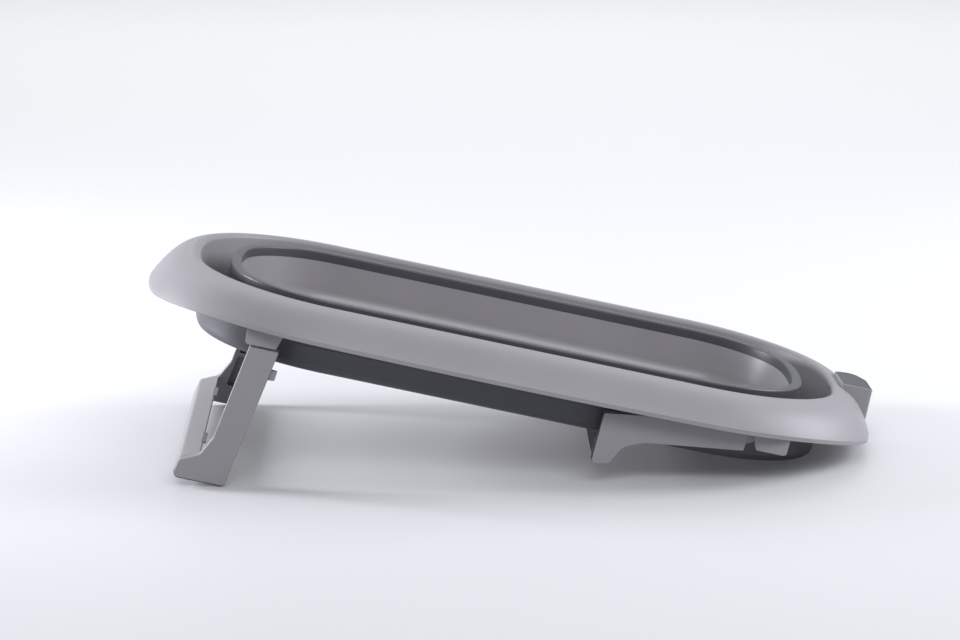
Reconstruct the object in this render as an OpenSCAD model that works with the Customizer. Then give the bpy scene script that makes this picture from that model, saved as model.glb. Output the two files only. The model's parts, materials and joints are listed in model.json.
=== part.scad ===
// Folding pet bathtub: a hard rim and a hard pan joined by a soft folding wall, on two folding legs.
// Shapes are drawn in the tub's own frame and then tilted into the resting stance: u runs along
// the tub towards the display pod, v across it, and w up from the plane of the skirt's lower edge.
// A ring's profile is drawn as (offset outside the crest line, w).

/* [Rim] */
// Half length of the crest line, the rim's inner top edge
crest_half_l = 354; // [345:1:360]
// Half width of the crest line
crest_half_w = 188; // [184:1:192]
// Radius of the crest line's four corners
corner_r = 150; // [146:1:154]
// Radius of the crest line's two ends
end_r = 430; // [400:10:480]
// Height of the crest above the skirt's lower edge
crest_h = 38; // [36:1:40]
// How far the skirt reaches outside the crest line
skirt_reach = 50; // [49:1:52]
// Radius of the skirt's four corners
skirt_corner_r = 192; // [190:1:194]
// Radius of the skirt's two ends
skirt_end_r = 470; // [450:10:500]
// How far the skirt's edge stands above its plane at the middle of the sides
foot_rise = 2; // [1.5:0.5:2.5]
// How far that edge sags below its plane at the tips
foot_sag = 8; // [7:0.5:8.5]
// Thickness of the hard plastic
shell_t = 3; // [2.5:0.1:3.2]
// Depth of the rim's inner wall below the skirt's edge
wall_drop = 7; // [6:0.5:8]

/* [Folding wall] */
// Thickness of the soft wall
soft_t = 2.5; // [2:0.1:3]
// Radius of the fold at the wall's lowest line
fold_r = 9; // [8.5:0.1:9.2]
// Depth of that line below the skirt's edge
fold_depth = 36.6; // [36.5:0.1:37]
// Distance from the crest line in to the soft wall's outer face
wall_inset = 7; // [6.8:0.1:7.2]
// Distance from the crest line in to the lip
lip_inset = 34; // [33:0.5:35]
// Width of the lip
lip_w = 11; // [10:0.5:12]
// Height of the lip's top above the skirt's edge
lip_top = 36.5; // [36:0.5:37]
// Height of the lip itself
lip_h = 10.5; // [10:0.5:11]

/* [Pan] */
// Thickness of the pan
pan_t = 3; // [2.5:0.1:3]
// Depth of the pan's inside floor below the skirt's edge
pan_floor = 27.5; // [26:0.5:28]
// Radius between the pan's wall and its floor
pan_fillet = 24; // [20:1:26]
// Distance of the drain from the tub's middle
drain_u = 222; // [200:1:230]
// Radius of the drain's opening
drain_r = 11.5; // [10:0.5:12]

/* [Legs] */
// Distance from the tub's middle plane to a leg's outer face
leg_face = 212; // [210:1:212]
// Thickness of an arm
arm_t = 15; // [14:0.5:15.5]
// Depth of the feet below the pivot
foot_depth = 172.5; // [170:0.5:174]
// Angle through which a leg folds, in degrees
fold_angle = 92.2; // [88:0.2:92.2]
// Radius of a hinge pin
pin_r = 3; // [2.5:0.1:3.2]

/* [Brackets] */
// Middle of the left brackets along the tub
left_bracket_u = -266.5; // [-268:0.5:-264]
// Middle of the right brackets along the tub
right_bracket_u = 276; // [272:0.5:277]
// Height of the pivots above the skirt's edge
pivot_w = 2; // [1.5:0.5:2.5]

/* [Display pod] */
// Height of the pod's window above the skirt's edge
pod_top = 42; // [41:0.5:43]
// Depth of the pod from its window to its base
pod_h = 34; // [33:0.5:35]

/* [Hidden] */
$fn = 64;

hard = [0.72, 0.71, 0.73];
soft = [0.33, 0.34, 0.37];
dark = [0.22, 0.23, 0.25];
gap = 0.3;        // space between pieces that move against each other
fit = 0.1;        // space between pieces that sit in each other
foot_bow = 6;     // bow of the skirt's edge between its middle and its corners

// ---- outlines -------------------------------------------------------------------------------
// An oval of tangent arcs is [half length, half width, corner radius, end radius].
crest = [crest_half_l, crest_half_w, corner_r, end_r];
skirt = [crest_half_l + skirt_reach, crest_half_w + skirt_reach, skirt_corner_r, skirt_end_r];

function end_angle(o) = asin((o[1] - o[2]) / (o[3] - o[2]));
function corner_u(o) = o[0] - o[3] + (o[3] - o[2]) * cos(end_angle(o));
function corner_v(o) = o[1] - o[2];

// The point of the first quarter of an oval where its outward normal has angle a.
function on_quarter(o, a) = a < end_angle(o)
    ? [o[0] - o[3] + o[3] * cos(a), o[3] * sin(a)]
    : [corner_u(o) + o[2] * cos(a), corner_v(o) + o[2] * sin(a)];

// One station round the whole oval is [quarter's sign in u, quarter's sign in v, normal's angle].
corner_steps = 14;
quarter = [for (i = [0:corner_steps]) 90 * pow(i / corner_steps, 1.15)];
back_steps = [for (i = [corner_steps:-1:0]) quarter[i]];
stations = concat(
    [for (a = quarter) [1, 1, a]], [for (a = back_steps) if (a > 0) [-1, 1, a]],
    [for (a = quarter) [-1, -1, a]], [for (a = back_steps) if (a > 0) [1, -1, a]]);

function on_oval(o, s) = let (p = on_quarter(o, s[2])) [s[0] * p[0], s[1] * p[1]];
function normal(s) = [s[0] * cos(s[2]), s[1] * sin(s[2])];

// ---- helpers --------------------------------------------------------------------------------
function arc(c, r, a0, a1, n) = [for (i = [0:n]) let (a = a0 + (a1 - a0) * i / n)
    [c[0] + r * cos(a), c[1] + r * sin(a)]];

function unit(v) = v / norm(v);

// A closed outline whose corners [x, y, radius] are rounded.
function rounded(pts) = [for (i = [0:len(pts) - 1]) each let (
    n = len(pts), p = [pts[i][0], pts[i][1]], r = pts[i][2],
    b = unit([for (k = [0, 1]) pts[(i + n - 1) % n][k]] - p),
    f = unit([for (k = [0, 1]) pts[(i + 1) % n][k]] - p),
    half = acos(b * f) / 2, mid = unit(b + f), c = p + mid * r / sin(half),
    start = p + b * r / tan(half), end = p + f * r / tan(half),
    a0 = atan2(start[1] - c[1], start[0] - c[0]), turn = atan2(end[1] - c[1], end[0] - c[0]) - a0,
    sweep = turn > 180 ? turn - 360 : turn < -180 ? turn + 360 : turn)
    r == 0 ? [p] : arc(c, r, a0, a0 + sweep, 6)];

// A swept ring's point is [share of the way from crest to skirt, offset outwards, w].
// The share also carries the foot line of the skirt, which rises to the brackets and sags at the tips.
function foot_line(x) = foot_rise + foot_bow * pow(x, 2) - (foot_sag + foot_rise + foot_bow) * pow(x, 8);
function swept(s, r) = let (
    edge = on_oval(skirt, s),
    p = on_oval(crest, s) * (1 - r[0]) + edge * r[0] + normal(s) * r[1])
    [p[0], p[1], r[2] + pow(r[0], 2) * foot_line(edge[0] / skirt[0])];

function along(profile) = [for (p = profile) [0, p[0], p[1]]];

// Points carried round the ovals, clockwise in (offset, w). An open profile gets a flat lid at its
// first and last points.
module sweep(rings, closed = true) {
    n = len(stations);
    m = len(rings);
    polyhedron(
        points = [for (s = stations) for (r = rings) swept(s, r)],
        faces = concat(
            [for (i = [0:n - 1]) for (j = [0:m - (closed ? 1 : 2)]) let (
                a = i * m + j, b = i * m + (j + 1) % m, c = ((i + 1) % n) * m + (j + 1) % m,
                d = ((i + 1) % n) * m + j) each [[a, c, b], [a, d, c]]],
            closed ? [] : [[for (i = [n - 1:-1:0]) i * m], [for (i = [0:n - 1]) i * m + m - 1]]));
}

// ---- the stance: the left feet and the right end of the soft wall stand on the ground --------
pivot_in = 6;                                   // pivot's distance inwards of its bracket's middle
left_pivot_u = left_bracket_u + pivot_in;
right_pivot_u = right_bracket_u - pivot_in;
pad_in = 19;                                    // the foot pad's inner edge, outside the pivot
fold_c = [-wall_inset - fold_r, fold_r - fold_depth];   // centre of the fold, beside the crest line
contact = [left_pivot_u - pad_in - (crest_half_l + fold_c[0]), (pivot_w - foot_depth) - fold_c[1]];
tilt = acos(fold_r / norm(contact)) - atan2(-contact[0], -contact[1]);
lift = (left_pivot_u - pad_in) * sin(tilt) - (pivot_w - foot_depth) * cos(tilt);
middle_x = 0.72;                               // middle of the tilted tub's length

module stance() {
    translate([-middle_x, 0, lift]) rotate([0, tilt, 0]) children();
}

// ---- rim ------------------------------------------------------------------------------------
function bezier(p, t) = pow(1 - t, 3) * p[0] + 3 * pow(1 - t, 2) * t * p[1]
    + 3 * (1 - t) * t * t * p[2] + pow(t, 3) * p[3];

slope_steps = 9;
top_skin = [[0.1, crest_h], [0.5, crest_h - 2], [0.75, crest_h - 12.5], [1, 5]];
under_skin = [[0.1, crest_h - shell_t], [0.5, crest_h - shell_t - 2], [0.75, crest_h - shell_t - 13],
    [1, 4.2]];
rim_rings = concat(
    [[0, -wall_inset, -wall_drop], [0, -4, 10], [0, 0, crest_h - 4], [0, 1, crest_h - 1.2],
        [0, 3.2, crest_h]],
    [for (i = [0:slope_steps]) let (q = bezier(top_skin, i / slope_steps)) [q[0], 0, q[1]]],
    [[1, 0, 1], [1, -1, 0], [1, -shell_t, 0]],
    [for (i = [slope_steps:-1:0]) let (t = i / slope_steps, q = bezier(under_skin, t))
        [q[0], -shell_t * t, q[1]]],
    [[0, shell_t, crest_h - 7], [0, shell_t - 4, 10], [0, shell_t - wall_inset, -wall_drop]]);

module rim() {
    color(hard) stance() difference() {
        sweep(rim_rings);
        pod_prism(pod_top - pod_h - 1, crest_h + 10, fit);
        probe_bar(fit);
    }
}

// ---- soft wall ------------------------------------------------------------------------------
// The wall hangs from the lower edge of the rim's inner wall down to its lowest line.
module wall_outer() {
    face = -wall_inset;
    color(soft) stance() sweep(along(concat(
        [[face - soft_t, -wall_drop], [face + shell_t, -wall_drop], [face + shell_t, -wall_drop - 1],
            [face, -wall_drop - 4]],
        arc(fold_c, fold_r, 0, -90, 8),
        arc(fold_c, fold_r - soft_t, -90, 0, 8))));
}

// The inner half of the fold rises again to the lip, and turns over when the pan drops.
module wall_fold() {
    x = fold_c[0];
    low = -fold_depth;
    color(soft) stance() sweep(along([
        [x, low + soft_t], [x, low], [x - 6, low + 0.8], [x - 10.8, low + 4], [x - 13, low + 9],
        [x - 17.9, -8], [lip_out - 2.4, lip_top - lip_h], [lip_out - 0.4, lip_top - lip_h],
        [x - 15.8, -8], [x - 11, low + 9.8], [x - 9.2, low + 5.7], [x - 5.4, low + 3]]));
}

lip_out = -lip_inset;
lip_in = -lip_inset - lip_w;
module lip_ring() {
    low = lip_top - lip_h;
    edge_r = 1.8;
    color(soft) stance() sweep(along(rounded([[lip_in, low, 0], [lip_in, lip_top, edge_r],
        [lip_out, lip_top, edge_r], [lip_out, low, 0]])));
}

// ---- pan ------------------------------------------------------------------------------------
pan_draft = 3;                                  // how much the pan's wall leans in on its way down
pan_in = lip_in - pan_draft;
module pan() {
    low = -pan_floor;
    top = lip_top - lip_h;
    c = [pan_in - pan_fillet, low + pan_fillet];
    color(hard) stance() difference() {
        sweep(along(concat(
            arc(c, pan_fillet, -90, 0, 7),
            [[lip_in, top], [lip_out - 3, top], [lip_out - 3, top - 3], [lip_in + pan_t, top - 3]],
            arc(c, pan_fillet + pan_t, 0, -90, 7))), closed = false);
        translate([drain_u, 0, low - 10]) cylinder(r = drain_r + 5 + fit, h = 20);
    }
}

// Low soft ribs moulded on the pan's floor, where the animal stands.
module pan_grip() {
    rib = [150, 7, 1.2];
    color(soft) stance() for (su = [-1, 1]) for (k = [-2:2])
        translate([su * 88, k * 26, -pan_floor]) linear_extrude(rib[2])
            polygon(rounded([[-rib[0] / 2, -rib[1] / 2, 3], [rib[0] / 2, -rib[1] / 2, 3],
                [rib[0] / 2, rib[1] / 2, 3], [-rib[0] / 2, rib[1] / 2, 3]]));
}

seat_flange = 1.5;
module drain_seat() {
    color(dark) stance() translate([drain_u, 0, -pan_floor]) rotate_extrude() polygon([
        [drain_r, seat_flange], [drain_r, -pan_t - 2.5], [drain_r + 5, -pan_t - 2.5],
        [drain_r + 5, 0], [drain_r + 8, 0], [drain_r + 8, 0.6], [drain_r + 6, seat_flange]]);
}

plug_head = 3.5;
module drain_plug() {
    base = seat_flange + 1.2;
    color(dark) stance() translate([drain_u, 0, -pan_floor]) {
        rotate_extrude() polygon([[0, base + plug_head], [drain_r + 2, base + plug_head],
            [drain_r + 4, base + 1.5], [drain_r + 4, base], [drain_r - 2, base],
            [drain_r - 2, seat_flange], [drain_r - gap, seat_flange], [drain_r - gap, -pan_t],
            [drain_r - 2, -pan_t - 2], [0, -pan_t - 2]]);
        translate([0, 2, base + plug_head - 0.5]) rotate([90, 0, 0]) linear_extrude(4)
            polygon(rounded([[-8, 0, 0], [8, 0, 0], [6, 9, 3], [-6, 9, 3]]));
    }
}

module plug_seal() {
    color(soft) stance() translate([drain_u, 0, -pan_floor + seat_flange + 0.1]) difference() {
        cylinder(r = drain_r + 3, h = 1);
        translate([0, 0, -1]) cylinder(r = drain_r - 2 + fit, h = 3);
    }
}

// ---- legs -----------------------------------------------------------------------------------
// A leg's side view has the pivot at its origin: p runs towards the tub's end, q up.
arm_top = -18.5;
arm_inner_top = -10.8;
arm_outer_top = 20.5;
foot_q = 1 - foot_depth;
foot_inner = 16.9;
foot_outer = 73;
hook_tip = [68.7, -152.7];
hook_root = [48.7, -143.4];
arm_outer_low = [38.2, -123];
neck_t = 6;
slot_mid = leg_face - arm_t / 2;

// Turn a side view drawn in (p, q) and grown along z into the plane of the arm at v.
module side_view(from_v, t) {
    translate([0, from_v + t, 0]) rotate([90, 0, 0]) linear_extrude(t) children();
}

module both_sides() {
    for (m = [0, 1]) mirror([0, m, 0]) children();
}

module arm_outline() {
    polygon(rounded([[arm_inner_top, arm_top, 1], [foot_inner, foot_q, 2], [foot_outer, foot_q, 4],
        [hook_tip[0], hook_tip[1], 4], [hook_root[0], hook_root[1], 9],
        [arm_outer_low[0], arm_outer_low[1], 9], [arm_outer_top, arm_top, 1]]));
}

module arm_pocket() {
    for (q = [[-26, -66], [-70, -110], [-114, -150]]) {
        lean = -0.17;
        polygon(rounded([[arm_inner_top + 4 + lean * (q[0] - arm_top), q[0], 2],
            [arm_outer_top - 5 + lean * (q[0] - arm_top), q[0], 2],
            [arm_outer_top - 5 + lean * (q[1] - arm_top), q[1], 2],
            [arm_inner_top + 4 + lean * (q[1] - arm_top), q[1], 2]]));
    }
}

module arm() {
    difference() {
        union() {
            side_view(leg_face - arm_t, arm_t) arm_outline();
            side_view(slot_mid - neck_t / 2, neck_t) polygon([[-8, 0], [-8, arm_top - 2],
                [14, arm_top - 2], [14, arm_top], [8, -8], [8, 0]]);
            translate([0, slot_mid + neck_t / 2, 0]) rotate([90, 0, 0]) cylinder(r = 8, h = neck_t);
        }
        side_view(leg_face - arm_t - 1, arm_t - 3) arm_pocket();
        translate([0, leg_face + 5, 0]) rotate([90, 0, 0]) cylinder(r = pin_r + 0.05, h = 30);
    }
}

shelf_t = 3;
tab_w = 52;
tab_v = 120;
module cross_beam() {
    span = 2 * (leg_face - arm_t);
    side_view(-span / 2, span) polygon(rounded([[hook_root[0], hook_root[1], 0.8],
        [hook_tip[0] + 0.4, hook_tip[1] + 0.2, 6], [foot_outer, foot_q + 1, 0.8],
        [foot_outer - shelf_t, foot_q + 1, 0.8], [hook_tip[0] - 2.5, hook_tip[1] - shelf_t, 3],
        [hook_root[0] - 0.6, hook_root[1] - shelf_t, 0.8]]));
    for (v = [-tab_v, tab_v]) side_view(v - tab_w / 2, tab_w) polygon([
        hook_root + [1, -0.2], hook_root + [1, -shelf_t], hook_root + [-3.4, -1.6],
        hook_root + [-3.4, -0.4]]);
    for (v = [-160:80:160]) side_view(v - 1, 2) polygon([hook_root + [0.2, -shelf_t + 0.6],
        [hook_tip[0] - 2, hook_tip[1] - shelf_t + 0.6], [foot_outer - shelf_t + 0.4, foot_q + 5]]);
}

module leg() {
    both_sides() arm();
    cross_beam();
}

module leg_pads() {
    both_sides() translate([pad_in, leg_face - arm_t + 2, -foot_depth])
        cube([foot_outer - pad_in - 4, arm_t - 4, 1]);
}

module leg_pegs() {
    lean = 0.178;
    both_sides() side_view(leg_face - arm_t + 2, 8) polygon([
        [arm_inner_top - lean * (-40 - arm_top) - fit, -40], [-13.2, -40.6], [-12.2, -50.4],
        [arm_inner_top - lean * (-51 - arm_top) - fit, -51]]);
}

// The left leg stands open, and the right one lies folded under the tub.
module at_left() {
    stance() translate([left_pivot_u, 0, pivot_w]) mirror([1, 0, 0]) children();
}
module at_right() {
    stance() translate([right_pivot_u, 0, pivot_w]) rotate([0, fold_angle, 0]) children();
}

module leg_left() { color(hard) at_left() leg(); }
module leg_right() { color(hard) at_right() leg(); }
module foot_pads_left() { color(dark) at_left() leg_pads(); }
module foot_pads_right() { color(dark) at_right() leg_pads(); }
module snap_pegs_left() { color(hard) at_left() leg_pegs(); }
module snap_pegs_right() { color(hard) at_right() leg_pegs(); }

// ---- brackets and pins ------------------------------------------------------------------------
// A bracket is drawn for the front right corner in p and q too, so the pivot is at its origin.
slot_t = neck_t + 2 * gap;
module bracket_block() {
    arm_from = leg_face - arm_t;
    difference() {
        union() {
            side_view(arm_from, arm_t) polygon(rounded([[pivot_in - 21, 8, 2],
                [pivot_in - 13, -16.5, 3], [pivot_in + 20, -16.5, 4], [pivot_in + 21, 2, 2],
                [pivot_in + 12, 8, 2]]));
            translate([pivot_in - 12, arm_from - 50, -9]) cube([24, 52, 15]);
        }
        side_view(slot_mid - slot_t / 2, slot_t) polygon([[-40, -30], [15.5, -30], [15.5, -8],
            [9.5, 2], [9.5, 12], [-40, 12]]);
        translate([0, leg_face - 1.5, 0]) rotate([90, 0, 0]) cylinder(r = pin_r + 0.05, h = arm_t);
    }
}

module bracket(left, back) {
    pivot_u = left ? left_pivot_u : right_pivot_u;
    flip_u = left ? 1 : 0;
    flip_v = back ? 0 : 1;
    color(hard) stance() difference() {
        translate([pivot_u, 0, pivot_w]) mirror([flip_u, 0, 0]) mirror([0, flip_v, 0])
            bracket_block();
        mirror([flip_u, 0, 0]) mirror([0, flip_v, 0])
            translate([corner_u(crest), corner_v(crest), -60])
                cylinder(r = corner_r - 1.5, h = 120, $fn = 128);
    }
}

module bracket_left_front() { bracket(true, false); }
module bracket_left_back() { bracket(true, true); }
module bracket_right_front() { bracket(false, false); }
module bracket_right_back() { bracket(false, true); }

module pin_pair(pivot_u) {
    color("silver") stance() translate([pivot_u, 0, pivot_w]) both_sides()
        translate([0, leg_face - 1.6, 0]) rotate([90, 0, 0]) cylinder(r = pin_r, h = arm_t - 1.4);
}
module pins_left() { pin_pair(left_pivot_u); }
module pins_right() { pin_pair(right_pivot_u); }

// ---- display pod ------------------------------------------------------------------------------
pod_t = 2;
module pod_outline(grow) {
    g = grow;
    polygon(rounded([[364 - g, -30 - g, 2], [398 + g, -31 - g, 3], [396.5 + g, 22 + g, 30],
        [384 + g, 50 + g, 12], [362 - g, 39 + g, 4]]));
}

module pod_prism(low, high, grow) {
    translate([0, 0, low]) linear_extrude(high - low) pod_outline(grow);
}

pod_low = pod_top - pod_h;
cell_at = [380, 4];
cell_r = 10;
cap_r = 12;
window_t = 2;
board_w = pod_top - 12;
button_at = [-4, pod_top - 18];              // its v and w

module pod_housing() {
    color(hard) stance() difference() {
        pod_prism(pod_low, pod_top, 0);
        pod_prism(pod_low + pod_t, pod_top + 1, -pod_t);
        translate([cell_at[0], cell_at[1], pod_low - 1]) cylinder(r = cap_r + gap, h = 5);
        translate([390, button_at[0], button_at[1]]) rotate([0, 90, 0]) cylinder(r = 3 + gap, h = 20);
    }
}

module pod_window() {
    color(dark) stance() pod_prism(pod_top - window_t, pod_top - 0.2, -pod_t - fit);
}

module pod_display() {
    color([0.5, 0.55, 0.5]) stance() translate([370, -14, pod_top - window_t - 2.7])
        cube([20, 36, 2.5]);
}

module pod_board() {
    color("green") stance() pod_prism(board_w, board_w + 1.6, -pod_t - 4 * fit);
}

module power_button() {
    color(dark) stance() translate([393.8, button_at[0], button_at[1]]) rotate([0, 90, 0]) {
        cylinder(r = 3, h = 4.4);
        cylinder(r = 4.2, h = 0.8);
    }
}

module coin_cell() {
    color("silver") stance() translate([cell_at[0], cell_at[1], pod_low + 3.4])
        cylinder(r = cell_r, h = 3.2);
}

module battery_cap() {
    color(hard) stance() translate([cell_at[0], cell_at[1], pod_low - 0.5]) difference() {
        cylinder(r = cap_r, h = 3);
        translate([-7, -1, -1]) cube([14, 2, 2.2]);
    }
}

// A slim sensing strip let into the rim's inner edge beside the pod.
module probe_bar(grow) {
    translate([crest_half_l - 1 - grow, -11 - grow, crest_h - 9 - grow])
        cube([2.2 + 2 * grow, 22 + 2 * grow, 5 + 2 * grow]);
}
module sensor_probe() { color(dark) stance() probe_bar(0); }

rim();
wall_outer();
wall_fold();
lip_ring();
pan();
pan_grip();
drain_seat();
drain_plug();
plug_seal();
bracket_left_front();
bracket_left_back();
bracket_right_front();
bracket_right_back();
pins_left();
pins_right();
leg_left();
leg_right();
foot_pads_left();
foot_pads_right();
snap_pegs_left();
snap_pegs_right();
pod_housing();
pod_window();
pod_display();
pod_board();
power_button();
coin_cell();
battery_cap();
sensor_probe();
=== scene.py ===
import json
import math

import bmesh
import bpy
from mathutils import Matrix, Vector


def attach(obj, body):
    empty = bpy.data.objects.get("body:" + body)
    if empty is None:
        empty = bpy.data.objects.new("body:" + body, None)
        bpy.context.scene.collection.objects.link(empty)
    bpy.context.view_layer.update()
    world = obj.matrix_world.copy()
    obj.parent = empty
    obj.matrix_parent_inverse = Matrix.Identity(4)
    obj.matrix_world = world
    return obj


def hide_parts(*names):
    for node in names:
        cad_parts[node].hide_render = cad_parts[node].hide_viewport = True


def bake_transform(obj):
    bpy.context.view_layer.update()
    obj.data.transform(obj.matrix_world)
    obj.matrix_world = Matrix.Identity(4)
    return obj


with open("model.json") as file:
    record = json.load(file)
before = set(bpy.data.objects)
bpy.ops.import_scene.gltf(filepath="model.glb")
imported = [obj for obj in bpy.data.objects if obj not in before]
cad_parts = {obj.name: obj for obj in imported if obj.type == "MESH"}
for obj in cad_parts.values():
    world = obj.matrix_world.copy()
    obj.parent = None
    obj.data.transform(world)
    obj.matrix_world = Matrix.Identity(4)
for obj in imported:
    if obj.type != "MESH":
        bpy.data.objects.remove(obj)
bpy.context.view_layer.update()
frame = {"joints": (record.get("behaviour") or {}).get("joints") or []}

# Looks of the folding pet bathtub. Pieces are drawn in millimetres in the tub's own frame, as the
# CAD model is: u runs along the tub towards the display pod, v across it away from the camera, and
# w up from the plane of the skirt's lower edge. TUB turns that frame into the shared one, in metres.
MM = 0.001

# ---- driving dimensions, in millimetres, the same as the CAD model's ------------------------------
CREST_HALF_L = 354
CREST_HALF_W = 188
CORNER_R = 150
END_R = 430
CREST_H = 38
SKIRT_REACH = 50
SKIRT_CORNER_R = 192
SKIRT_END_R = 470
FOOT_RISE = 2
FOOT_BOW = 6
FOOT_SAG = 8
SHELL_T = 3
WALL_DROP = 7
SOFT_T = 2.5
FOLD_R = 9
FOLD_DEPTH = 36.6
WALL_INSET = 7
LIP_INSET = 34
LIP_W = 11
LIP_TOP = 36.5
LIP_H = 10.5
PAN_T = 3
PAN_FLOOR = 27.5
PAN_FILLET = 24
PAN_DRAFT = 3
DRAIN_U = 222
DRAIN_R = 11.5
LEG_FACE = 212
ARM_T = 15
FOOT_DEPTH = 172.5
FOLD_ANGLE = 92.2
PIN_R = 3
BORE_R = PIN_R * 1.02
LEFT_PIVOT_U = -260.5
RIGHT_PIVOT_U = 270
PIVOT_W = 2
PIVOT_IN = 6
POD_TOP = 42
POD_H = 34

LIP_OUT = -LIP_INSET
LIP_IN = -LIP_INSET - LIP_W
PAN_IN = LIP_IN - PAN_DRAFT
POD_LOW = POD_TOP - POD_H
CREST = (CREST_HALF_L, CREST_HALF_W, CORNER_R, END_R)
SKIRT = (CREST_HALF_L + SKIRT_REACH, CREST_HALF_W + SKIRT_REACH, SKIRT_CORNER_R, SKIRT_END_R)


# ---- the tub's frame -------------------------------------------------------------------------------
def joint_place(name):
    return next(Vector(j["pos_m"]) for j in frame["joints"] if j["name"] == name)


def tub_frame():
    """The matrix from the tub's frame in millimetres to the shared frame, found from the two leg pivots."""
    left = joint_place("left_leg_fold")
    right = joint_place("right_leg_fold")
    tilt = math.atan2(left.z - right.z, right.x - left.x)
    turn = Matrix.Rotation(tilt, 4, "Y") @ Matrix.Scale(MM, 4)
    corner = turn @ Vector((LEFT_PIVOT_U, 0, PIVOT_W))
    return Matrix.Translation(left - corner) @ turn


TUB = tub_frame()


def at_left():
    """From a leg's own frame, p outwards and q up from its pivot, to the open left leg."""
    return TUB @ Matrix.Translation((LEFT_PIVOT_U, 0, PIVOT_W)) @ Matrix.Scale(-1, 4, (1, 0, 0))


def at_right():
    """The same for the right leg, which lies folded under the tub."""
    fold = Matrix.Rotation(math.radians(FOLD_ANGLE), 4, "Y")
    return TUB @ Matrix.Translation((RIGHT_PIVOT_U, 0, PIVOT_W)) @ fold


# ---- outlines --------------------------------------------------------------------------------------
def end_angle(oval):
    return math.degrees(math.asin((oval[1] - oval[2]) / (oval[3] - oval[2])))


def on_oval(oval, station):
    """A station is (sign in u, sign in v, angle of the normal); a fractional sign is along a side."""
    half_l, half_w, corner, end = oval
    a = math.radians(station[2])
    split = math.radians(end_angle(oval))
    corner_u = half_l - end + (end - corner) * math.cos(split)
    if a < split:
        point = (half_l - end + end * math.cos(a), end * math.sin(a))
    else:
        point = (corner_u + corner * math.cos(a), half_w - corner + corner * math.sin(a))
    return Vector((station[0] * point[0], station[1] * point[1]))


def normal_at(station):
    a = math.radians(station[2])
    return Vector((station[0] * math.cos(a), station[1] * math.sin(a)))


def round_the_oval(end_steps=10, corner_steps=44, side_steps=26):
    split = end_angle(CREST)
    quarter = [split * i / end_steps for i in range(end_steps)]
    quarter += [split + (90 - split) * i / corner_steps for i in range(corner_steps + 1)]
    side = [1 - 2 * i / side_steps for i in range(1, side_steps)]
    far = [(1, 1, a) for a in quarter] + [(s, 1, 90) for s in side]
    far += [(-1, 1, a) for a in reversed(quarter)]
    near = [(-1, -1, a) for a in quarter[1:]] + [(-s, -1, 90) for s in side]
    near += [(1, -1, a) for a in reversed(quarter[1:])]
    return far + near


STATIONS = round_the_oval()


def arc(centre, radius, start, stop, steps):
    angles = [math.radians(start + (stop - start) * i / steps) for i in range(steps + 1)]
    return [(centre[0] + radius * math.cos(a), centre[1] + radius * math.sin(a)) for a in angles]


def bezier(points, t):
    s = 1 - t
    weights = (s * s * s, 3 * s * s * t, 3 * s * t * t, t * t * t)
    return tuple(sum(w * p[k] for w, p in zip(weights, points)) for k in (0, 1))


def curve(points, start, stop, steps):
    return [bezier(points, start + (stop - start) * i / steps) for i in range(steps + 1)]


def rounded(points, steps=6):
    """A closed outline whose corners (x, y, radius) are rounded."""
    line = []
    for i, (x, y, r) in enumerate(points):
        if r == 0:
            line.append((x, y))
            continue
        here = Vector((x, y))
        back = (Vector(points[i - 1][:2]) - here).normalized()
        ahead = (Vector(points[(i + 1) % len(points)][:2]) - here).normalized()
        half = back.angle(ahead) / 2
        centre = here + (back + ahead).normalized() * r / math.sin(half)
        first = here + back * r / math.tan(half) - centre
        last = here + ahead * r / math.tan(half) - centre
        start = math.degrees(math.atan2(first.y, first.x))
        turn = (math.degrees(math.atan2(last.y, last.x)) - start + 180) % 360 - 180
        line += arc(centre, r, start, start + turn, steps)
    return line


def box_line(x0, y0, x1, y1, radius=0):
    """A rectangle between two opposite corners."""
    return rounded([(x0, y0, radius), (x1, y0, radius), (x1, y1, radius), (x0, y1, radius)])


# ---- mesh helpers ----------------------------------------------------------------------------------
SHARP_ANGLE = 32
SWEPT_SHARP_ANGLE = 35


def shade_mesh(mesh, sharp_angle=SHARP_ANGLE):
    """Smooth shading, with edges that turn by more than the angle, in degrees, kept sharp."""
    mesh.shade_smooth()
    mesh.set_sharp_from_angle(angle=math.radians(sharp_angle))


def new_piece(name, mesh, material):
    piece = bpy.data.objects.new(name, mesh)
    bpy.context.scene.collection.objects.link(piece)
    mesh.materials.append(material)
    shade_mesh(mesh)
    return piece


def joined(name, meshes, material):
    """Separate solids in one piece."""
    work = bmesh.new()
    for mesh in meshes:
        work.from_mesh(mesh)
    mesh = bpy.data.meshes.new(name)
    work.to_mesh(mesh)
    work.free()
    return new_piece(name, mesh, material)


def mesh_from(name, points, faces, matrix):
    mesh = bpy.data.meshes.new(name)
    mesh.from_pydata([matrix @ Vector(p) for p in points], [], faces)
    tidy_mesh(mesh)
    return mesh


def tidy_mesh(mesh):
    """Joins doubled points and turns every face outwards."""
    work = bmesh.new()
    work.from_mesh(mesh)
    bmesh.ops.remove_doubles(work, verts=work.verts, dist=1e-7)
    bmesh.ops.recalc_face_normals(work, faces=work.faces)
    work.to_mesh(mesh)
    work.free()


def foot_line(along_tub):
    """Height of the skirt's edge: it rises towards the brackets and sags at the tips."""
    x = along_tub / SKIRT[0]
    return FOOT_RISE + FOOT_BOW * x ** 2 - (FOOT_SAG + FOOT_RISE + FOOT_BOW) * x ** 8


def swept(station, ring):
    """A swept ring is (share of the way from crest to skirt, offset outwards, w)."""
    share, out, w = ring
    edge = on_oval(SKIRT, station)
    at = on_oval(CREST, station) * (1 - share) + edge * share
    at += normal_at(station) * out
    return (at.x, at.y, w + share ** 2 * foot_line(edge.x))


def along(profile):
    return [(0, x, w) for x, w in profile]


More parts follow.
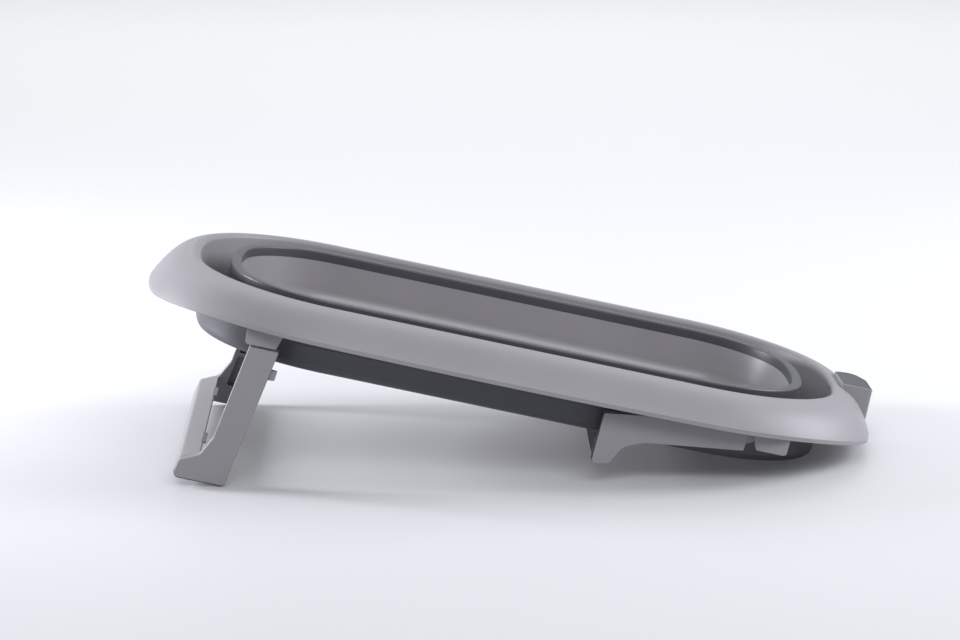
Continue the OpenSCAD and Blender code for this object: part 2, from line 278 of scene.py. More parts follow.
def sweep_mesh(name, rings, closed=True):
    """Rings carried round the ovals. An open profile gets a flat lid at its first and last ring."""
    points = [swept(s, r) for s in STATIONS for r in rings]
    n = len(STATIONS)
    m = len(rings)
    faces = []
    for i in range(n):
        for j in range(m if closed else m - 1):
            a = i * m + j
            b = i * m + (j + 1) % m
            c = (i + 1) % n * m + (j + 1) % m
            d = (i + 1) % n * m + j
            faces.append((a, b, c, d))
    if not closed:
        faces.append([i * m for i in range(n)])
        faces.append([i * m + m - 1 for i in range(n)])
    return mesh_from(name, points, faces, TUB)


def prism_mesh(name, outline, low, high, matrix, bevel=0.0, flat="w"):
    """An outline grown from low to high, along w or, for a side view, along v, with eased edges."""
    place = (lambda p, t: (p[0], p[1], t)) if flat == "w" else (lambda p, t: (p[0], t, p[1]))
    n = len(outline)
    points = [place(p, low) for p in outline] + [place(p, high) for p in outline]
    faces = [tuple(range(n)), tuple(range(n, 2 * n))]
    faces += [(i, (i + 1) % n, n + (i + 1) % n, n + i) for i in range(n)]
    mesh = mesh_from(name, points, faces, Matrix.Identity(4))
    if bevel:
        ease_edges(mesh, bevel)
    mesh.transform(matrix)
    tidy_mesh(mesh)
    return mesh


def ease_edges(mesh, width, angle=40, segments=2):
    work = bmesh.new()
    work.from_mesh(mesh)
    limit = math.radians(angle)
    edges = [e for e in work.edges if len(e.link_faces) == 2 and e.calc_face_angle() > limit]
    bmesh.ops.bevel(work, geom=edges, offset=width, segments=segments, profile=0.5,
                    affect="EDGES", clamp_overlap=True)
    work.to_mesh(mesh)
    work.free()


def turned_mesh(name, profile, matrix, steps=72):
    """A profile of (radius, height), closed on the axis, turned about the z axis."""
    turns = [2 * math.pi * k / steps for k in range(steps)]
    points = [(r * math.cos(a), r * math.sin(a), z) for a in turns for r, z in profile]
    m = len(profile)
    faces = []
    for k in range(steps):
        for j in range(m):
            a = k * m + j
            b = k * m + (j + 1) % m
            c = (k + 1) % steps * m + (j + 1) % m
            d = (k + 1) % steps * m + j
            faces.append((a, b, c, d))
    mesh = bpy.data.meshes.new(name)
    mesh.from_pydata([matrix @ Vector(p) for p in points], [], faces)
    work = bmesh.new()
    work.from_mesh(mesh)
    bmesh.ops.remove_doubles(work, verts=work.verts, dist=1e-6)
    bmesh.ops.dissolve_degenerate(work, edges=work.edges, dist=1e-7)
    bmesh.ops.recalc_face_normals(work, faces=work.faces)
    work.to_mesh(mesh)
    work.free()
    return mesh


def combine(piece, others, operation):
    """Cuts the other meshes out of a piece, or welds them on, and makes the result final."""
    for other in others:
        tool = bpy.data.objects.new("tool", other)
        bpy.context.scene.collection.objects.link(tool)
        boolean = piece.modifiers.new(operation, "BOOLEAN")
        boolean.operation = operation
        boolean.solver = "EXACT"
        boolean.object = tool
        make_final(piece)
        bpy.data.objects.remove(tool)
    return piece


def make_final(piece):
    graph = bpy.context.evaluated_depsgraph_get()
    mesh = bpy.data.meshes.new_from_object(piece.evaluated_get(graph))
    piece.modifiers.clear()
    piece.data = mesh


def crisp(piece):
    """Smooth shading that keeps flat faces flat beside eased edges."""
    shade_mesh(piece.data)
    weighted = piece.modifiers.new("weighted", "WEIGHTED_NORMAL")
    weighted.keep_sharp = True
    weighted.weight = 60
    make_final(piece)
    return piece


# ---- materials -------------------------------------------------------------------------------------
DRIFT_SCALE = 9
WEAR = 0.05
GRAIN_DEPTH = 0.05


def moulded(name, colour, roughness, grain, grain_size, mottle=0.04, **sockets):
    """A moulded plastic or rubber: a fine grain in the surface, and a faint drift in its colour."""
    material = bpy.data.materials.new(name)
    material.use_nodes = True
    nodes = material.node_tree.nodes
    links = material.node_tree.links
    shader = nodes["Principled BSDF"]
    for socket, value in sockets.items():
        shader.inputs[socket.replace("_", " ")].default_value = value
    place = nodes.new("ShaderNodeTexCoord")

    drift = nodes.new("ShaderNodeTexNoise")
    drift.inputs["Scale"].default_value = DRIFT_SCALE
    drift.inputs["Detail"].default_value = 4
    links.new(place.outputs["Object"], drift.inputs["Vector"])
    tint = nodes.new("ShaderNodeValToRGB")
    tint.color_ramp.elements[0].position = 0.3
    tint.color_ramp.elements[1].position = 0.7
    tint.color_ramp.elements[0].color = [c * (1 - mottle) for c in colour] + [1]
    tint.color_ramp.elements[1].color = [min(1, c * (1 + mottle)) for c in colour] + [1]
    links.new(drift.outputs["Fac"], tint.inputs["Fac"])
    links.new(tint.outputs["Color"], shader.inputs["Base Color"])

    fine = nodes.new("ShaderNodeTexNoise")
    fine.inputs["Scale"].default_value = 1 / (grain_size * MM)
    fine.inputs["Detail"].default_value = 3
    links.new(place.outputs["Object"], fine.inputs["Vector"])
    wear = nodes.new("ShaderNodeMapRange")
    wear.inputs["To Min"].default_value = roughness - WEAR
    wear.inputs["To Max"].default_value = roughness + WEAR
    links.new(drift.outputs["Fac"], wear.inputs["Value"])
    links.new(wear.outputs["Result"], shader.inputs["Roughness"])
    bump = nodes.new("ShaderNodeBump")
    bump.inputs["Strength"].default_value = grain
    bump.inputs["Distance"].default_value = GRAIN_DEPTH * MM
    links.new(fine.outputs["Fac"], bump.inputs["Height"])
    links.new(bump.outputs["Normal"], shader.inputs["Normal"])
    return material


HARD = moulded("hard_plastic", (0.236, 0.229, 0.243), 0.47, 0.5, 0.9, Specular_IOR_Level=0.42)
PAN = moulded("pan_plastic", (0.240, 0.232, 0.246), 0.32, 0.35, 0.9)
SOFT = moulded("soft_wall", (0.048, 0.049, 0.059), 0.38, 0.6, 1.2, 0.08)
BLACK = moulded("seal_rubber", (0.02, 0.02, 0.022), 0.65, 0.6, 0.8, 0.1)
DARK = moulded("dark_plastic", (0.035, 0.037, 0.042), 0.45, 0.5, 0.8, 0.06)
WINDOW = moulded("window", (0.022, 0.029, 0.035), 0.24, 0.1, 2.0, 0.05, Specular_IOR_Level=0.16)
PANEL = moulded("display", (0.16, 0.19, 0.17), 0.3, 0.1, 0.6)
BOARD = moulded("circuit_board", (0.01, 0.07, 0.03), 0.4, 0.3, 0.5)
STEEL = moulded("steel", (0.55, 0.55, 0.56), 0.28, 0.3, 0.5, 0.03, Metallic=1)


def finish_piece(piece, body, slot, *nodes):
    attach(piece, body)
    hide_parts(*nodes)


# ---- rim -------------------------------------------------------------------------------------------
def rim_rings():
    """The drafted inner wall, the crest's rolled edge and bead, the skirt's slope, foot and inside."""
    edge_r = 5
    steps = 16
    top = [(0.1, CREST_H), (0.5, CREST_H - 2), (0.75, CREST_H - 12.5), (1, 5)]
    under = [(0.1, CREST_H - 3), (0.5, CREST_H - 5), (0.75, CREST_H - 16), (1, 4.2)]
    roll = [(0, x, w) for x, w in arc((edge_r, CREST_H - edge_r), edge_r, 172, 90, 10)]
    bead = [(0, 8.4, CREST_H), (0, 10, CREST_H - 0.35), (0, 11.4, CREST_H - 0.75)]
    slope = [(s, 0, w) for s, w in curve(top, 0.15, 1, 26)]
    foot = [(1, 0.1, 4.6), (1, 0, 4.1), (1, 0, 0.6), (1, -0.6, 0), (1, -SHELL_T, 0)]
    inside = []
    for i in range(steps, -1, -1):
        share, w = bezier(under, i / steps)
        inside.append((share, -SHELL_T * i / steps, w))
    inner = [(-WALL_INSET, -WALL_DROP), (-WALL_INSET + 0.8, -2), (-4, 10), (-1.8, 22), (-0.5, CREST_H - 9)]
    back = [(SHELL_T, CREST_H - 7), (SHELL_T - 4, 10), (SHELL_T - WALL_INSET, -WALL_DROP)]
    rings = [(0, x, w) for x, w in inner] + roll + bead + slope[:-1]
    return rings + foot + inside + [(0, x, w) for x, w in back]


def pod_line(g):
    """The pod's five-cornered plan, grown by g on every side."""
    return rounded([(364 - g, -30 - g, 2), (398 + g, -31 - g, 3), (396.5 + g, 22 + g, 30),
                    (384 + g, 50 + g, 12), (362 - g, 39 + g, 4)], 8)


def pod_mesh(low, high, grow, bevel=0.0):
    return prism_mesh("pod", pod_line(grow), low, high, TUB, bevel)


def probe_mesh(grow):
    """The sensing strip let into the rim's inner edge beside the pod."""
    half_l = 11
    thick = 2.2
    height = 5
    u = CREST_HALF_L - 1
    low = CREST_H - 9
    line = box_line(u - grow, -half_l - grow, u + thick + grow, half_l + grow)
    return prism_mesh("probe", line, low - grow, low + height + grow, TUB)


def make_rim():
    rim = new_piece("rim_skin", sweep_mesh("rim", rim_rings()), HARD)
    gap = 0.15
    combine(rim, [pod_mesh(POD_LOW - 1, CREST_H + 10, gap), probe_mesh(gap)], "DIFFERENCE")
    shade_mesh(rim.data, SWEPT_SHARP_ANGLE)
    finish_piece(rim, "rim", "hard_plastic", "rim")


# ---- soft wall -------------------------------------------------------------------------------------
FOLD_C = (-WALL_INSET - FOLD_R, FOLD_R - FOLD_DEPTH)


def make_wall_outer():
    """The outer half of the fold: down from the rim's inner wall and round the lowest line."""
    face = -WALL_INSET
    top = -WALL_DROP
    line = [(face - SOFT_T, top), (face + SHELL_T, top), (face + SHELL_T, top - 1),
            (face + 0.7, top - 2.6), (face, top - 4)]
    line += arc(FOLD_C, FOLD_R, 0, -90, 20)
    line += arc(FOLD_C, FOLD_R - SOFT_T, -90, 0, 14)
    wall = new_piece("wall_outer_skin", sweep_mesh("wall_outer", along(line)), SOFT)
    finish_piece(wall, "rim", "soft_wall", "wall_outer")


def wall_fold_line(steps=30):
    """The middle line of the fold's inner half, up from the lowest line to under the lip."""
    x = FOLD_C[0]
    low = -FOLD_DEPTH
    lip_low = LIP_TOP - LIP_H
    start = (x, low + SOFT_T / 2)
    middle = [start, (x - 8, low + SOFT_T / 2), (x - 11.5, low + 6), (x - 13, low + 14)]
    line = curve(middle, 0, 1, 10)
    from_x, from_w = line[-1]
    rise_x = LIP_OUT - 1.5 - from_x
    rise_w = lip_low - from_w
    return line + [(from_x + rise_x * i / steps, from_w + rise_w * i / steps) for i in range(1, steps + 1)]


def thick_line(line, widths):
    """Both sides of a line of the given full widths."""
    left = []
    right = []
    for i, (x, w) in enumerate(line):
        before = Vector(line[max(i - 1, 0)])
        after = Vector(line[min(i + 1, len(line) - 1)])
        run = (after - before).normalized()
        side = Vector((-run.y, run.x)) * widths[i] / 2
        left.append((x + side.x, w + side.y))
        right.append((x - side.x, w - side.y))
    return left + right[::-1]


def make_wall_fold():
    """The fold's inner half, a little thinner past its first points."""
    thinner = 0.2
    taper_points = 10
    line = wall_fold_line()
    widths = [SOFT_T - thinner * min(i / taper_points, 1) for i in range(len(line))]
    wall = new_piece("wall_fold_skin", sweep_mesh("wall_fold", along(thick_line(line, widths))), SOFT)
    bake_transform(wall)
    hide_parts("wall_fold")


def make_lip():
    """The soft square-edged ring round the pan."""
    low = LIP_TOP - LIP_H
    edge_r = 1.8
    line = rounded([(LIP_IN, low, 0), (LIP_IN, LIP_TOP, edge_r),
                    (LIP_OUT, LIP_TOP, edge_r), (LIP_OUT, low, 0)])
    lip = new_piece("lip_skin", sweep_mesh("lip", along(line)), SOFT)
    finish_piece(lip, "pan", "soft_wall", "lip_ring")


# ---- pan -------------------------------------------------------------------------------------------
def make_pan():
    """The pan's floor, fillet and drafted wall, with a flange under the lip and a hole for the drain."""
    low = -PAN_FLOOR
    top = LIP_TOP - LIP_H
    c = (PAN_IN - PAN_FILLET, low + PAN_FILLET)
    inside = [(c[0] - 14, low), (c[0] - 6, low)] + arc(c, PAN_FILLET, -90, 0, 18)
    wall = [(PAN_IN + PAN_DRAFT * t, c[1] + (top - c[1]) * t) for t in (0.15, 0.5, 0.85)]
    flange = [(LIP_IN, top), (LIP_OUT - 3, top), (LIP_OUT - 3, top - 3), (LIP_IN + PAN_T, top - 3)]
    outside = arc(c, PAN_FILLET + PAN_T, 0, -90, 18) + [(c[0] - 6, low - PAN_T), (c[0] - 14, low - PAN_T)]
    pan = new_piece("pan_skin", sweep_mesh("pan", along(inside + wall + flange + outside), closed=False), PAN)
    hole_r = DRAIN_R + 5.1
    hole = [(0, low - 10), (hole_r, low - 10), (hole_r, low + 10), (0, low + 10)]
    combine(pan, [turned_mesh("hole", hole, TUB @ Matrix.Translation((DRAIN_U, 0, 0)))], "DIFFERENCE")
    shade_mesh(pan.data, SWEPT_SHARP_ANGLE)
    finish_piece(pan, "pan", "hard_plastic", "pan")


def make_grip():
    """Two groups of five low ribs on the pan's floor."""
    length = 150
    width = 7
    rise = 1.2
    group_u = 88
    spacing = 26
    ends = box_line(-length / 2, -width / 2, length / 2, width / 2, 3)
    parts = []
    for side in (-1, 1):
        for row in range(-2, 3):
            line = [(x + side * group_u, y + row * spacing) for x, y in ends]
            parts.append(prism_mesh("rib", line, -PAN_FLOOR, -PAN_FLOOR + rise, TUB, 0.5))
    grip = crisp(joined("pan_grip_skin", parts, SOFT))
    finish_piece(grip, "pan", "soft_wall", "pan_grip")


def drain_place(w=0.0):
    return TUB @ Matrix.Translation((DRAIN_U, 0, -PAN_FLOOR + w))


SEAT_FLANGE = 1.5
PLUG_BASE = SEAT_FLANGE + 1.2
PLUG_HEAD = 3.5


def make_seat():
    """The ring round the drain hole, from under the pan up to a thin flange on its floor."""
    r = DRAIN_R
    low = -PAN_T - 2.5
    line = [(r, SEAT_FLANGE), (r, low), (r + 5, low), (r + 5, 0), (r + 8, 0), (r + 7.9, 0.5),
            (r + 7.2, 1.1), (r + 6, SEAT_FLANGE)]
    ring = crisp(new_piece("drain_seat_skin", turned_mesh("seat", line, drain_place()), DARK))
    finish_piece(ring, "pan", "dark_plastic", "drain_seat")


def make_plug():
    """The plug's broad head, its stem in the seat, and a tab to pull it by."""
    r = DRAIN_R
    head = PLUG_BASE + PLUG_HEAD
    line = [(0, head), (r + 1, head), (r + 2.4, head - 0.4), (r + 3.6, PLUG_BASE + 2),
            (r + 4, PLUG_BASE + 0.8), (r + 3.8, PLUG_BASE), (r - 2, PLUG_BASE), (r - 2, SEAT_FLANGE),
            (r - 0.3, SEAT_FLANGE), (r - 0.3, -PAN_T), (r - 2, -PAN_T - 2), (0, -PAN_T - 2)]
    plug = new_piece("drain_plug_skin", turned_mesh("plug", line, drain_place()), SOFT)
    tab_line = rounded([(-8, 0, 0), (8, 0, 0), (6, 9, 3), (-6, 9, 3)])
    tab = prism_mesh("tab", tab_line, -2, 2, drain_place(head - 0.5), 0.7, "v")
    crisp(combine(plug, [tab], "UNION"))
    finish_piece(plug, "drain_plug", "soft_wall", "drain_plug")


def make_seal():
    """The flat rubber ring under the plug's head."""
    inner = DRAIN_R - 1.9
    outer = DRAIN_R + 3
    low = SEAT_FLANGE + 0.1
    ease = 0.3
    line = [(inner, low), (DRAIN_R + 2.7, low), (outer, low + ease), (outer, low + 0.7),
            (DRAIN_R + 2.7, low + 1), (inner, low + 1)]
    ring = crisp(new_piece("plug_seal_skin", turned_mesh("seal", line, drain_place()), BLACK))
    finish_piece(ring, "drain_plug", "seal_rubber", "plug_seal")


# ---- legs ------------------------------------------------------------------------------------------
# A leg's points are (p, q) from its pivot: p outwards and q up while the leg stands open.
ARM_TOP = -18.5
ARM_INNER_TOP = -10.8
ARM_OUTER_TOP = 20.5
FOOT_Q = 1 - FOOT_DEPTH
FOOT_INNER = 16.9
FOOT_OUTER = 73
HOOK_TIP = (68.7, -152.7)
HOOK_ROOT = (48.7, -143.4)
ARM_OUTER_LOW = (38.2, -123)
NECK_T = 6
NECK_R = 8
SLOT_MID = LEG_FACE - ARM_T / 2
SHELF_T = 3
# Heights q of each pocket's top and foot.
POCKETS = ((-26, -66), (-70, -110), (-114, -150))


def arm_line():
    """An arm's side view: its straight shank widens into the foot, with the beam's hook on its outer side."""
    return rounded([(ARM_INNER_TOP, ARM_TOP, 1.5), (FOOT_INNER, FOOT_Q, 2.5), (FOOT_OUTER, FOOT_Q, 4),
                    (*HOOK_TIP, 4), (*HOOK_ROOT, 12), (*ARM_OUTER_LOW, 10), (ARM_OUTER_TOP, ARM_TOP, 1.5)], 8)


def arm_meshes(side, matrix):
    """The arm's slab, and the neck above it that turns in the bracket."""
    low, high = sorted((side * (LEG_FACE - ARM_T), side * LEG_FACE))
    slab = prism_mesh("slab", arm_line(), low, high, matrix, 1.1, "v")
    neck_line = rounded([(-NECK_R, 1, 0), (-NECK_R, ARM_TOP - 2, 0), (14, ARM_TOP - 2, 0),
                         (14, ARM_TOP, 0), (NECK_R, -8, 2), (NECK_R, 1, 0)])
    neck_line = neck_line[:-1] + arc((0, 0), NECK_R, 0, 180, 16)
    middle = side * SLOT_MID
    neck = prism_mesh("neck", neck_line, middle - NECK_T / 2, middle + NECK_T / 2, matrix, 0.4, "v")
    return slab, neck


def pocket_meshes(side, matrix):
    """Three pockets in the arm's inner face, which lean with the arm, and the pin's bore."""
    lean = -0.17
    left = ARM_INNER_TOP + 4
    right = ARM_OUTER_TOP - 5
    ends = sorted((side * (LEG_FACE - ARM_T - 1), side * (LEG_FACE - 4)))
    meshes = []
    for high, low in POCKETS:
        top = lean * (high - ARM_TOP)
        foot = lean * (low - ARM_TOP)
        line = rounded([(left + top, high, 2), (right + top, high, 2),
                        (right + foot, low, 2), (left + foot, low, 2)])
        meshes.append(prism_mesh("pocket", line, *ends, matrix, 0, "v"))
    bore = arc((0, 0), BORE_R, 0, 350, 35)
    ends = sorted((side * (LEG_FACE - ARM_T - 5), side * (LEG_FACE + 5)))
    meshes.append(prism_mesh("bore", bore, *ends, matrix, 0, "v"))
    return meshes


def beam_meshes(matrix):
    """The hooked cross beam, the two tabs on its inner edge, and the gussets behind it."""
    half = LEG_FACE - ARM_T + 1
    t = SHELF_T
    tip_p, tip_q = HOOK_TIP
    root_p, root_q = HOOK_ROOT
    low = FOOT_Q + 1
    hook = rounded([(root_p, root_q, 0.8), (tip_p + 0.4, tip_q + 0.2, 6), (FOOT_OUTER, low, 0.8),
                    (FOOT_OUTER - t, low, 0.8), (tip_p - 2.5, tip_q - t, 3), (root_p - 0.6, root_q - t, 0.8)])
    meshes = [prism_mesh("beam", hook, -half, half, matrix, 0, "v")]
    tab_half = 26
    slant = 5
    swap_p_and_v = Matrix(((0, 1, 0, 0), (1, 0, 0, 0), (0, 0, 1, 0), (0, 0, 0, 1)))
    for v in (-120, 120):
        tab = rounded([(v - tab_half, root_p + 2, 0), (v + tab_half, root_p + 2, 0),
                       (v + tab_half - slant, root_p - 3.4, 3), (v - tab_half + slant, root_p - 3.4, 3)])
        meshes.append(prism_mesh("tab", tab, root_q - 2.6, root_q - 0.3, matrix @ swap_p_and_v, 0.5))
    gusset = [(root_p + 0.2, root_q - t + 0.6), (tip_p - 2, tip_q - t + 0.6),
              (FOOT_OUTER - t + 0.4, FOOT_Q + 5)]
    for v in range(-160, 161, 80):
        meshes.append(prism_mesh("gusset", gusset, v - 1, v + 1, matrix, 0, "v"))
    return meshes


def make_leg(name, matrix):
    slabs = [arm_meshes(side, matrix) for side in (-1, 1)]
    leg = new_piece(f"leg_{name}_skin", slabs[0][0], HARD)
    welds = [slabs[0][1], slabs[1][0], slabs[1][1]] + beam_meshes(matrix)
    combine(leg, welds, "UNION")
    combine(leg, pocket_meshes(-1, matrix) + pocket_meshes(1, matrix), "DIFFERENCE")
    finish_piece(crisp(leg), f"{name}_leg", "hard_plastic", f"leg_{name}")


def make_pads(name, matrix):
    """The rubber pads under a leg's two feet."""
    line = box_line(19, -FOOT_DEPTH, FOOT_OUTER - 4, 1 - FOOT_DEPTH)
    pads = []
    for side in (-1, 1):
        ends = sorted((side * (LEG_FACE - ARM_T + 2), side * (LEG_FACE - 2)))
        pads.append(prism_mesh("pad", line, *ends, matrix, 0.3, "v"))
    piece = crisp(joined(f"foot_pads_{name}_skin", pads, BLACK))
    finish_piece(piece, f"{name}_leg", "seal_rubber", f"foot_pads_{name}")


def make_pegs(name, matrix):
    """The small snap pegs on the arms' inner edges."""
    lean = 0.178
    high = -40
    low = -51
    face = ARM_INNER_TOP
    line = rounded([(face - lean * (high - ARM_TOP) - 0.1, high, 0), (-13.2, high - 0.6, 1),
                    (-12.2, low + 0.6, 1), (face - lean * (low - ARM_TOP) - 0.1, low, 0)])
    pegs = []
    for side in (-1, 1):
        ends = sorted((side * (LEG_FACE - ARM_T + 2), side * (LEG_FACE - 5)))
        pegs.append(prism_mesh("peg", line, *ends, matrix, 0.5, "v"))
    piece = crisp(joined(f"snap_pegs_{name}_skin", pegs, HARD))
    finish_piece(piece, f"{name}_leg", "hard_plastic", f"snap_pegs_{name}")


# ---- brackets and pins -----------------------------------------------------------------------------
def pivot_of(end):
    """The leg pivot's u, and the direction along u that points out of the tub at that end."""
    return (LEFT_PIVOT_U, -1) if end == "left" else (RIGHT_PIVOT_U, 1)


def make_bracket(end, row):
    """A bracket is drawn at its pivot, p outwards and q up, and reaches in to the rim's wall."""
    pivot_u, out = pivot_of(end)
    side = 1 if row == "back" else -1
    matrix = TUB @ Matrix.Translation((pivot_u, 0, PIVOT_W)) @ Matrix.Scale(out, 4, (1, 0, 0))
    name = f"bracket_{end}_{row}"
    shape = rounded([(PIVOT_IN - 21, 8, 2), (PIVOT_IN - 13, -16.5, 3), (PIVOT_IN + 20, -16.5, 4),
                     (PIVOT_IN + 21, 2, 2), (PIVOT_IN + 12, 8, 2)], 8)
    arm_from = LEG_FACE - ARM_T
    ends = sorted((side * arm_from, side * LEG_FACE))
    block = new_piece(f"{name}_skin", prism_mesh(name, shape, *ends, matrix, 0.9, "v"), HARD)
    foot = box_line(PIVOT_IN - 12, -9, PIVOT_IN + 12, 6)
    ends = sorted((side * (arm_from - 50), side * (arm_from + 2)))
    combine(block, [prism_mesh("foot", foot, *ends, matrix, 0.8, "v")], "UNION")
    slot_half = (NECK_T + 0.6) / 2
    slot = [(-40, -30), (15.5, -30), (15.5, -8), (9.5, 2), (9.5, 12), (-40, 12)]
    middle = side * SLOT_MID
    corner_u = CREST_HALF_L - END_R + (END_R - CORNER_R) * math.cos(math.radians(end_angle(CREST)))
    centre = TUB @ Matrix.Translation((out * corner_u, side * (CREST_HALF_W - CORNER_R), 0))
    wall_r = CORNER_R - 1.5
    wall = [(0, -60), (wall_r, -60), (wall_r, 60), (0, 60)]
    bore = [(0, -ARM_T), (BORE_R, -ARM_T), (BORE_R, 0), (0, 0)]
    to_face = Matrix.Translation((0, side * (LEG_FACE - 1.5), 0))
    bore_place = matrix @ (to_face @ Matrix.Rotation(-side * math.pi / 2, 4, "X"))
    combine(block, [prism_mesh("slot", slot, middle - slot_half, middle + slot_half, matrix, 0, "v"),
                    turned_mesh("wall", wall, centre, 160), turned_mesh("bore", bore, bore_place, 36)],
            "DIFFERENCE")
    finish_piece(crisp(block), "rim", "hard_plastic", name)


def make_pins(end):
    """The two hinge pins at one end of the tub."""
    pivot_u = pivot_of(end)[0]
    ease = 0.3
    pins = []
    line = [(0, 0), (PIN_R - ease, 0), (PIN_R, ease), (PIN_R, ARM_T - 1.7), (PIN_R - ease, ARM_T - 1.4),
            (0, ARM_T - 1.4)]
    for side in (-1, 1):
        place = TUB @ Matrix.Translation((pivot_u, side * (LEG_FACE - 1.6), PIVOT_W))
        pins.append(turned_mesh("pin", line, place @ Matrix.Rotation(side * math.pi / 2, 4, "X"), 36))
    finish_piece(crisp(joined(f"pins_{end}_skin", pins, STEEL)), "rim", "steel", f"pins_{end}")


# ---- display pod -----------------------------------------------------------------------------------
CELL_AT = (380, 4)
CELL_R = 10
CAP_R = 12
BUTTON_V = -4
BUTTON_W = POD_TOP - 18
CAP_LOW = POD_LOW - 0.5


def disc(name, w, line):
    """A profile turned about the axis that the coin cell and its cap share."""
    return turned_mesh(name, line, TUB @ Matrix.Translation((*CELL_AT, w)))


def button_place(u):
    """A place on the button's axis, with z along the tub."""
    return TUB @ Matrix.Translation((u, BUTTON_V, BUTTON_W)) @ Matrix.Rotation(math.pi / 2, 4, "Y")


def make_housing():
    """The pod's shell, open at the top, with a hole below for the cap and one at the end for the button."""
    pod = new_piece("pod_housing_skin", pod_mesh(POD_LOW, POD_TOP, 0, 0.8), HARD)
    hole = [(0, -1), (CAP_R + 0.3, -1), (CAP_R + 0.3, 4), (0, 4)]
    button = [(0, 0), (3.3, 0), (3.3, 20), (0, 20)]
    combine(pod, [pod_mesh(POD_LOW + 2, POD_TOP + 1, -1.1), disc("hole", POD_LOW, hole),
                  turned_mesh("button_hole", button, button_place(390), 40)], "DIFFERENCE")
    finish_piece(crisp(pod), "rim", "hard_plastic", "pod_housing")


def make_display():
    """The dark window, and the board and the display panel under it."""
    window = crisp(new_piece("pod_window_skin", pod_mesh(POD_TOP - 2, POD_TOP - 0.4, -1.7, 0.4), WINDOW))
    finish_piece(window, "rim", "window", "pod_window")
    board = crisp(new_piece("pod_board_skin", pod_mesh(POD_TOP - 12, POD_TOP - 10.4, -2.4), BOARD))
    finish_piece(board, "rim", "circuit_board", "pod_board")
    panel = prism_mesh("panel", box_line(370, -14, 390, 22, 1), POD_TOP - 4.7, POD_TOP - 2.2, TUB, 0.3)
    finish_piece(crisp(new_piece("pod_display_skin", panel, PANEL)), "rim", "display", "pod_display")


def make_button():
    """The power button: a broad base behind the shell and a cap that stands out of it."""
    line = [(0, 0), (4.2, 0), (4.2, 0.8), (3, 0.8), (3, 3.9), (2.8, 4.25), (2.4, 4.4), (0, 4.25)]
    push = turned_mesh("push", line, button_place(393.8), 48)
    piece = crisp(new_piece("power_button_skin", push, DARK))
    finish_piece(piece, "power_button", "dark_plastic", "power_button")


def make_cell():
    """The coin cell, stepped in at its lower face."""
    r = CELL_R
    line = [(0, 0), (r - 1.4, 0), (r - 1.2, 0.3), (r - 0.3, 0.4), (r, 0.7), (r, 2.9),
            (r - 0.3, 3.2), (0, 3.2)]
    cell = crisp(new_piece("coin_cell_skin", disc("cell", POD_LOW + 3.4, line), STEEL))
    finish_piece(cell, "rim", "steel", "coin_cell")


def make_cap():
    """The battery cap under the pod, with a slot to turn it by."""
    r = CAP_R
    line = [(0, 0), (r - 0.5, 0), (r, 0.5), (r, 2.7), (r - 0.3, 3), (0, 3)]
    cap = new_piece("battery_cap_skin", disc("cap", CAP_LOW, line), HARD)
    place = TUB @ Matrix.Translation((*CELL_AT, CAP_LOW))
    combine(cap, [prism_mesh("slot", box_line(-7, -1, 7, 1, 0.9), -1, 1.2, place)], "DIFFERENCE")
    finish_piece(crisp(cap), "battery_cap", "hard_plastic", "battery_cap")


def make_probe():
    probe = crisp(new_piece("sensor_probe_skin", probe_mesh(0), HARD))
    finish_piece(probe, "rim", "hard_plastic", "sensor_probe")


# ---- stage: camera, floor, light -------------------------------------------------------------------
CAMERA_RANGE = 4.4
CAMERA_ELEVATION = 11.11
CAMERA_SWING = -1.35
CAMERA_LENS = 149.6
LOOK_LEFT = 0.0335
LOOK_UP = 0.0302


def make_camera():
    """A long lens low in front of the tub, aimed a little left of and above its origin."""
    e = math.radians(CAMERA_ELEVATION)
    s = math.radians(CAMERA_SWING)
    forward = Vector((-math.sin(s) * math.cos(e), math.cos(s) * math.cos(e), -math.sin(e)))
    right = Vector((math.cos(s), math.sin(s), 0))
    up = right.cross(forward)
    origin = TUB @ Vector((0, 0, 0))
    data = bpy.data.cameras.new("camera")
    data.lens = CAMERA_LENS
    data.sensor_width = 36
    data.clip_end = 100
    camera = bpy.data.objects.new("camera", data)
    camera.location = origin - forward * CAMERA_RANGE
    target = origin - right * LOOK_LEFT + up * LOOK_UP
    camera.rotation_mode = "QUATERNION"
    camera.rotation_quaternion = (target - camera.location).to_track_quat("-Z", "Y")
    bpy.context.scene.collection.objects.link(camera)
    bpy.context.scene.camera = camera


def floor_material():
    """A satin floor with painted shade: its colour grows paler with its distance from the front. A faint
    glow, painted light, lifts the shadows on it.
    """
    material = bpy.data.materials.new("studio_floor_painted_light")
    material.use_nodes = True
    nodes = material.node_tree.nodes
    links = material.node_tree.links
    shader = nodes["Principled BSDF"]
    place = nodes.new("ShaderNodeTexCoord")
    split = nodes.new("ShaderNodeSeparateXYZ")
    painted_falloff = nodes.new("ShaderNodeMapRange")
    painted_falloff.inputs["From Min"].default_value = -1.0
    painted_falloff.inputs["From Max"].default_value = 4.0
    # Painted shade: the floor's colour runs from dark at the front to pale far behind.
    shade = nodes.new("ShaderNodeValToRGB")
    shade.color_ramp.elements[0].color = (0.47, 0.475, 0.49, 1)
    shade.color_ramp.elements[1].color = (0.84, 0.84, 0.845, 1)
    middle = shade.color_ramp.elements.new(0.3)
    middle.color = (0.60, 0.605, 0.62, 1)
    links.new(place.outputs["Object"], split.inputs["Vector"])
    links.new(split.outputs["Y"], painted_falloff.inputs["Value"])
    links.new(painted_falloff.outputs["Result"], shade.inputs["Fac"])
    links.new(shade.outputs["Color"], shader.inputs["Base Color"])
    shader.inputs["Roughness"].default_value = 0.45
    shader.inputs["Specular IOR Level"].default_value = 0.3
    # Painted light: a faint glow in the floor lifts the shadows under the tub.
    shader.inputs["Emission Color"].default_value = (0.97, 0.98, 1.0, 1)
    shader.inputs["Emission Strength"].default_value = 0.045
    return material


FLOOR = floor_material()


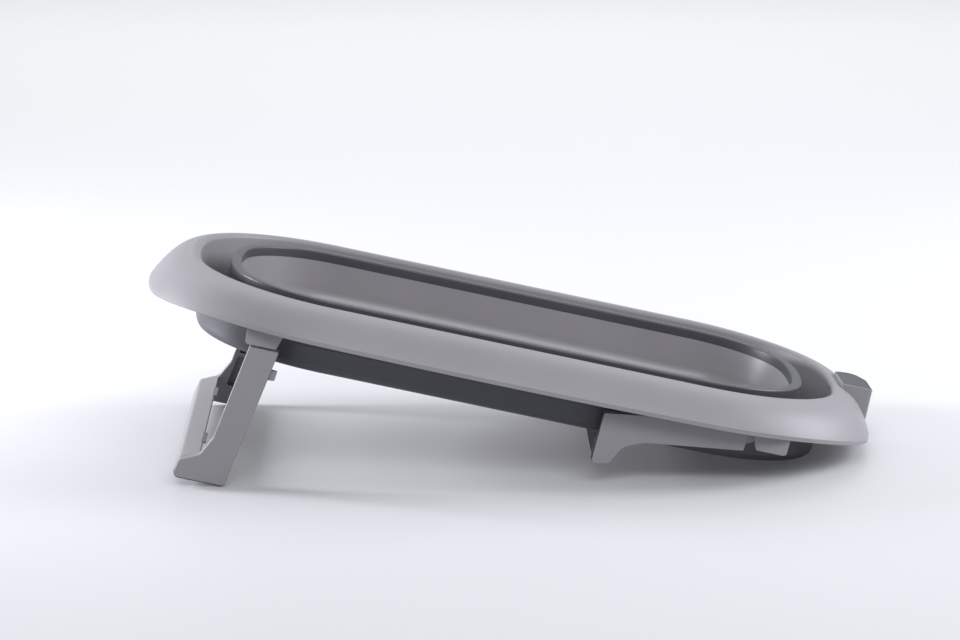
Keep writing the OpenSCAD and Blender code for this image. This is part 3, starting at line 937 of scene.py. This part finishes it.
def make_floor():
    """A pale floor that curves up into a backdrop far behind."""
    half = 14
    near = -9
    far = 5
    curve_r = 3
    high = 12
    angles = [math.radians(9 * i) for i in range(1, 11)]
    run = [(near, 0), (far, 0)]
    run += [(far + curve_r * math.sin(a), curve_r - curve_r * math.cos(a)) for a in angles]
    run.append((far + curve_r, high))
    points = [(x, y, z) for y, z in run for x in (-half, half)]
    faces = [(2 * i, 2 * i + 1, 2 * i + 3, 2 * i + 2) for i in range(len(run) - 1)]
    mesh = bpy.data.meshes.new("floor")
    mesh.from_pydata(points, [], faces)
    floor = new_piece("floor", mesh, FLOOR)


def add_light(name, at, aim, size, power, colour=(1, 1, 1)):
    data = bpy.data.lights.new(name, "AREA")
    data.shape = "RECTANGLE"
    data.size, data.size_y = size
    data.energy = power
    data.color = colour
    light = bpy.data.objects.new(name, data)
    light.location = at
    light.rotation_mode = "QUATERNION"
    light.rotation_quaternion = (Vector(aim) - Vector(at)).to_track_quat("-Z", "Y")
    bpy.context.scene.collection.objects.link(light)


def make_light():
    """A key light in front, a wash on the backdrop, a box at each end of the tub, and a pale sky."""
    lilac = (0.93, 0.93, 1.0)
    add_light("front_key", (0.3, -2.5, 2.0), (0, 0, 0.05), (2.6, 1.0), 47)
    add_light("backdrop_wash", (0, 3.3, 3.0), (0, 3.5, 0), (6.0, 3.0), 84)
    add_light("left_box", (-2.0, 0.5, 0.7), (-0.38, 0.05, 0.18), (0.6, 0.6), 60, lilac)
    add_light("right_box", (2.3, 0.2, 1.2), (0.35, 0, 0.05), (1.3, 1.2), 58, lilac)
    world = bpy.data.worlds.new("studio")
    world.use_nodes = True
    sky = world.node_tree.nodes["Background"]
    sky.inputs["Color"].default_value = (0.93, 0.95, 1.0, 1)
    sky.inputs["Strength"].default_value = 0.52
    bpy.context.scene.world = world
    bpy.context.scene.view_settings.view_transform = "Standard"


make_camera()
make_floor()
make_light()
make_rim()
make_wall_outer()
make_wall_fold()
make_lip()
make_pan()
make_grip()
make_seat()
make_plug()
make_seal()
for leg_name, leg_matrix in (("left", at_left()), ("right", at_right())):
    make_leg(leg_name, leg_matrix)
    make_pads(leg_name, leg_matrix)
    make_pegs(leg_name, leg_matrix)
for bracket_end in ("left", "right"):
    for bracket_row in ("front", "back"):
        make_bracket(bracket_end, bracket_row)
    make_pins(bracket_end)
make_housing()
make_display()
make_button()
make_cell()
make_cap()
make_probe()
